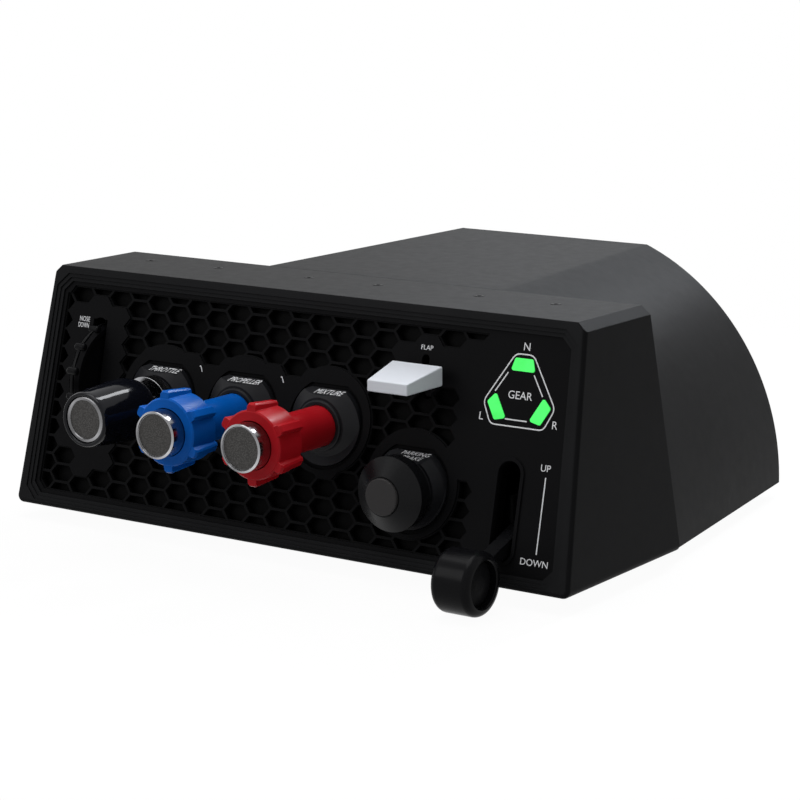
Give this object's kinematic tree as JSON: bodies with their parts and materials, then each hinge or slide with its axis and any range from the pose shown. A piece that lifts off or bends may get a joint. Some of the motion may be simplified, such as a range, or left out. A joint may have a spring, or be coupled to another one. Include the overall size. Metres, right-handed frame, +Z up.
{
  "type": "push-pull engine control panel",
  "caption": "Desk-top flight trainer console with push-pull throttle, propeller and mixture knobs, parking brake, flap paddle, landing gear lever and elevator trim wheel on a honeycomb panel.",
  "frame": {"origin": "on the desk, below the middle of the whole console", "axes": "+X to the pilot's right along the console, +Y away from the pilot, +Z up"},
  "size_m": [0.3664, 0.349, 0.1428],
  "materials": {
    "housing_black": "fine texture, satin",
    "panel_black": "fine texture, matte",
    "collar_black": "matte",
    "knob_black": "gloss",
    "knob_blue": "satin",
    "knob_red": "satin",
    "cap_silver": "metallised satin",
    "chrome_trim": "polished",
    "disc_grey": "satin",
    "paddle_white": "satin",
    "wheel_black": "soft touch",
    "lever_black": "satin",
    "steel": "ground",
    "brass": "turned",
    "screw_black": "black oxide",
    "foot_rubber": "matte",
    "lens_green": "translucent",
    "board_green": "solder mask",
    "inner_black": "moulded",
    "gear_white": "acetal"
  },
  "bodies": {
    "console": {"barrel_nuts": "brass", "board_pillars": "brass", "brake_collar": "collar_black", "brake_guide": "brass", "control_carrier": "inner_black", "flap_bracket": "inner_black", "flap_pivot_pin": "steel", "foot_screws": "screw_black", "front_base_plate": "inner_black", "front_housing": "housing_black", "front_panel": "panel_black", "gear_bracket": "inner_black", "gear_light_board": "board_green", "gear_light_left": "lens_green", "gear_light_nose": "lens_green", "gear_light_right": "lens_green", "gear_pivot_pin": "steel", "main_board": "board_green", "mixture_collar": "collar_black", "mixture_guide": "brass", "propeller_collar": "collar_black", "propeller_guide": "brass", "rear_base_plate": "inner_black", "rear_housing": "housing_black", "rubber_feet": "foot_rubber", "throttle_collar": "collar_black", "throttle_ferrule": "chrome_trim", "throttle_guide": "brass", "top_screws": "screw_black", "trim_bracket": "inner_black", "trim_sensor": "inner_black", "usb_socket": "steel"},
    "throttle": {"throttle_knob": "knob_black", "throttle_cap": "cap_silver", "throttle_shaft": "steel", "throttle_magnet": "steel"},
    "propeller_rod": {"propeller_shaft": "steel", "propeller_sleeve": "knob_blue", "propeller_magnet": "steel"},
    "propeller_twist": {"propeller_knob": "knob_blue"},
    "propeller_press": {"propeller_button": "chrome_trim"},
    "mixture_rod": {"mixture_shaft": "steel", "mixture_sleeve": "knob_red", "mixture_magnet": "steel"},
    "mixture_twist": {"mixture_knob": "knob_red"},
    "mixture_press": {"mixture_button": "chrome_trim"},
    "parking_brake": {"brake_knob": "lever_black", "brake_knob_disc": "disc_grey", "brake_shaft": "steel"},
    "landing_gear": {"gear_lever": "lever_black", "gear_wheel_knob": "wheel_black", "gear_hub_caps": "panel_black"},
    "flap_switch": {"flap_paddle": "paddle_white", "flap_lever": "lever_black"},
    "elevator_trim": {"trim_wheel": "wheel_black", "trim_axle": "steel", "trim_gear": "gear_white"},
    "trim_pickup": {"trim_sensor_gear": "gear_white"}
  },
  "joints": [
    {"name": "throttle_pull", "type": "slide", "parent": "console", "child": "throttle", "axis": [0, -1, 0], "range_m": [-0.0045, 0.05]},
    {"name": "propeller_pull", "type": "slide", "parent": "console", "child": "propeller_rod", "axis": [0, -1, 0], "range_m": [-0.032, 0.022]},
    {"name": "propeller_turn", "type": "hinge", "parent": "propeller_rod", "child": "propeller_twist", "pos_m": [-0.0325, -0.16515, 0.0758], "axis": [0, -1, 0], "continuous": true},
    {"name": "propeller_release", "type": "slide", "parent": "propeller_twist", "child": "propeller_press", "axis": [0, 1, 0], "range_m": [0, 0.003], "stiffness_N_per_m": 600, "springref_m": -0.002},
    {"name": "mixture_pull", "type": "slide", "parent": "console", "child": "mixture_rod", "axis": [0, -1, 0], "range_m": [-0.032, 0.022]},
    {"name": "mixture_turn", "type": "hinge", "parent": "mixture_rod", "child": "mixture_twist", "pos_m": [0.0235, -0.16515, 0.0758], "axis": [0, -1, 0], "continuous": true},
    {"name": "mixture_release", "type": "slide", "parent": "mixture_twist", "child": "mixture_press", "axis": [0, 1, 0], "range_m": [0, 0.003], "stiffness_N_per_m": 600, "springref_m": -0.002},
    {"name": "parking_brake_pull", "type": "slide", "parent": "console", "child": "parking_brake", "axis": [0, -1, 0], "range_m": [0, 0.022]},
    {"name": "landing_gear_swing", "type": "hinge", "parent": "console", "child": "landing_gear", "pos_m": [0.1403, -0.07606, 0.0389], "axis": [-1, 0, 0], "range_deg": [0, 58]},
    {"name": "flap_rock", "type": "hinge", "parent": "console", "child": "flap_switch", "pos_m": [0.0815, -0.07695, 0.1039], "axis": [-1, 0, 0], "range_deg": [-15, 15], "stiffness_Nm_per_rad": 1.2},
    {"name": "trim_turn", "type": "hinge", "parent": "console", "child": "elevator_trim", "pos_m": [-0.1387, -0.08586, 0.0799], "axis": [1, 0, 0], "continuous": true},
    {"name": "trim_pickup_turn", "type": "hinge", "parent": "console", "child": "trim_pickup", "pos_m": [-0.1387, -0.07071, 0.0799], "axis": [1, 0, 0], "continuous": true}
  ],
  "couplings": [
    {"joint": "trim_pickup_turn", "follows": "trim_turn", "ratio": -1.5}
  ]
}
